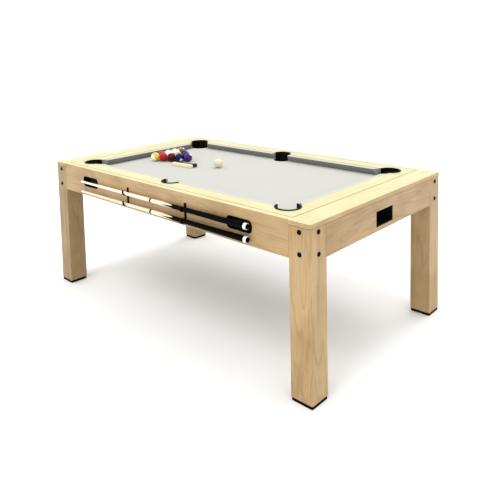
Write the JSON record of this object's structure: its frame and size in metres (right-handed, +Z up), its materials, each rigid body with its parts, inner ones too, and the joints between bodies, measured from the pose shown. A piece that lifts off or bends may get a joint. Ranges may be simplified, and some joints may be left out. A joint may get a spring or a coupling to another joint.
{
  "type": "pool table",
  "caption": "Wooden pool dining table with grey cloth, six pockets, ball return, cues on side clips, racked balls and a table brush.",
  "frame": {"origin": "centre of the overall outline, cue hooks included, at floor level; the centre of the wooden body is 17.5 mm towards +Y", "axes": "+X along the table to the ball return end, +Y across it away from the cue clips, +Z up"},
  "size_m": [2.026, 1.231, 0.8045],
  "materials": {
    "maple": "clear satin lacquer",
    "frame_timber": "planed softwood",
    "foot_black": "matt",
    "bolt_black": "black, satin",
    "return_plastic": "matt",
    "pocket_rubber": "satin",
    "slate": "honed",
    "cloth": "napped wool",
    "cushion": "cloth covered rubber",
    "clip_black": "black, satin",
    "cue_shaft": "lacquered",
    "cue_butt": "gloss black",
    "ball_purple": "polished",
    "ball_blue": "polished",
    "ball_green": "polished",
    "ball_maroon": "polished",
    "ball_orange": "polished",
    "ball_red": "polished",
    "ball_navy": "polished",
    "ball_lime": "polished",
    "ball_yellow": "polished",
    "ball_ivory": "polished",
    "brush_wood": "varnished",
    "bristle": "bristle"
  },
  "bodies": {
    "table": {"back_apron": "maple", "back_rail_cap": "maple", "ball_box": "return_plastic", "bed_cloth": "cloth", "collector_gully": "return_plastic", "corner_blocks": "frame_timber", "corner_pocket_liners": "pocket_rubber", "cross_bearers": "frame_timber", "cue_clips": "clip_black", "cushion_back_left": "cushion", "cushion_back_right": "cushion", "cushion_front_left": "cushion", "cushion_front_right": "cushion", "cushion_left_end": "cushion", "cushion_right_end": "cushion", "end_bearers": "frame_timber", "front_apron": "maple", "front_rail_cap": "maple", "hand_slot_cups": "return_plastic", "left_apron": "maple", "left_end_panel": "maple", "left_rail_cap": "maple", "leg_back_left": "maple", "leg_back_right": "maple", "leg_bolts": "bolt_black", "leg_front_left": "maple", "leg_front_right": "maple", "middle_pocket_liners": "pocket_rubber", "right_apron": "maple", "right_end_panel": "maple", "right_rail_cap": "maple", "side_bearers": "frame_timber", "side_gullies": "return_plastic", "slate_bed": "slate"},
    "foot_front_left": {"foot_front_left": "foot_black"},
    "foot_front_right": {"foot_front_right": "foot_black"},
    "foot_back_right": {"foot_back_right": "foot_black"},
    "foot_back_left": {"foot_back_left": "foot_black"},
    "cue_1": {"cue_1_shaft": "cue_shaft", "cue_1_butt": "cue_butt"},
    "cue_2": {"cue_2_shaft": "cue_shaft", "cue_2_butt": "cue_butt"},
    "brush": {"brush_handle": "brush_wood", "brush_bristles": "bristle"},
    "ball_01_body": {"ball_01": "ball_purple"},
    "ball_02_body": {"ball_02": "ball_blue"},
    "ball_03_body": {"ball_03": "ball_navy"},
    "ball_04_body": {"ball_04": "ball_maroon"},
    "ball_05_body": {"ball_05": "ball_lime"},
    "ball_06_body": {"ball_06": "ball_navy"},
    "ball_07_body": {"ball_07": "ball_red"},
    "ball_08_body": {"ball_08": "ball_red"},
    "ball_09_body": {"ball_09": "ball_green"},
    "ball_10_body": {"ball_10": "ball_purple"},
    "ball_11_body": {"ball_11": "ball_yellow"},
    "ball_12_body": {"ball_12": "ball_red"},
    "ball_13_body": {"ball_13": "ball_red"},
    "ball_14_body": {"ball_14": "ball_green"},
    "ball_15_body": {"ball_15": "ball_orange"},
    "cue_ball_body": {"cue_ball": "ball_ivory"}
  },
  "joints": [
    {"name": "foot_front_left_level", "type": "slide", "parent": "table", "child": "foot_front_left", "axis": [0, 0, -1], "range_m": [0, 0.015]},
    {"name": "foot_front_right_level", "type": "slide", "parent": "table", "child": "foot_front_right", "axis": [0, 0, -1], "range_m": [0, 0.015]},
    {"name": "foot_back_right_level", "type": "slide", "parent": "table", "child": "foot_back_right", "axis": [0, 0, -1], "range_m": [0, 0.015]},
    {"name": "foot_back_left_level", "type": "slide", "parent": "table", "child": "foot_back_left", "axis": [0, 0, -1], "range_m": [0, 0.015]},
    {"name": "cue_1_lift", "type": "slide", "parent": "table", "child": "cue_1", "axis": [0, 0, 1], "range_m": [0, 0.1]},
    {"name": "cue_2_lift", "type": "slide", "parent": "table", "child": "cue_2", "axis": [0, 0, 1], "range_m": [0, 0.03]},
    {"name": "brush_lift", "type": "slide", "parent": "table", "child": "brush", "axis": [0, 0, 1], "range_m": [0, 0.1]},
    {"name": "ball_01_lift", "type": "slide", "parent": "table", "child": "ball_01_body", "axis": [0, 0, 1], "range_m": [0, 0.1]},
    {"name": "ball_02_lift", "type": "slide", "parent": "table", "child": "ball_02_body", "axis": [0, 0, 1], "range_m": [0, 0.1]},
    {"name": "ball_03_lift", "type": "slide", "parent": "table", "child": "ball_03_body", "axis": [0, 0, 1], "range_m": [0, 0.1]},
    {"name": "ball_04_lift", "type": "slide", "parent": "table", "child": "ball_04_body", "axis": [0, 0, 1], "range_m": [0, 0.1]},
    {"name": "ball_05_lift", "type": "slide", "parent": "table", "child": "ball_05_body", "axis": [0, 0, 1], "range_m": [0, 0.1]},
    {"name": "ball_06_lift", "type": "slide", "parent": "table", "child": "ball_06_body", "axis": [0, 0, 1], "range_m": [0, 0.1]},
    {"name": "ball_07_lift", "type": "slide", "parent": "table", "child": "ball_07_body", "axis": [0, 0, 1], "range_m": [0, 0.1]},
    {"name": "ball_08_lift", "type": "slide", "parent": "table", "child": "ball_08_body", "axis": [0, 0, 1], "range_m": [0, 0.1]},
    {"name": "ball_09_lift", "type": "slide", "parent": "table", "child": "ball_09_body", "axis": [0, 0, 1], "range_m": [0, 0.1]},
    {"name": "ball_10_lift", "type": "slide", "parent": "table", "child": "ball_10_body", "axis": [0, 0, 1], "range_m": [0, 0.1]},
    {"name": "ball_11_lift", "type": "slide", "parent": "table", "child": "ball_11_body", "axis": [0, 0, 1], "range_m": [0, 0.1]},
    {"name": "ball_12_lift", "type": "slide", "parent": "table", "child": "ball_12_body", "axis": [0, 0, 1], "range_m": [0, 0.1]},
    {"name": "ball_13_lift", "type": "slide", "parent": "table", "child": "ball_13_body", "axis": [0, 0, 1], "range_m": [0, 0.1]},
    {"name": "ball_14_lift", "type": "slide", "parent": "table", "child": "ball_14_body", "axis": [0, 0, 1], "range_m": [0, 0.1]},
    {"name": "ball_15_lift", "type": "slide", "parent": "table", "child": "ball_15_body", "axis": [0, 0, 1], "range_m": [0, 0.1]},
    {"name": "cue_ball_lift", "type": "slide", "parent": "table", "child": "cue_ball_body", "axis": [0, 0, 1], "range_m": [0, 0.1]}
  ]
}
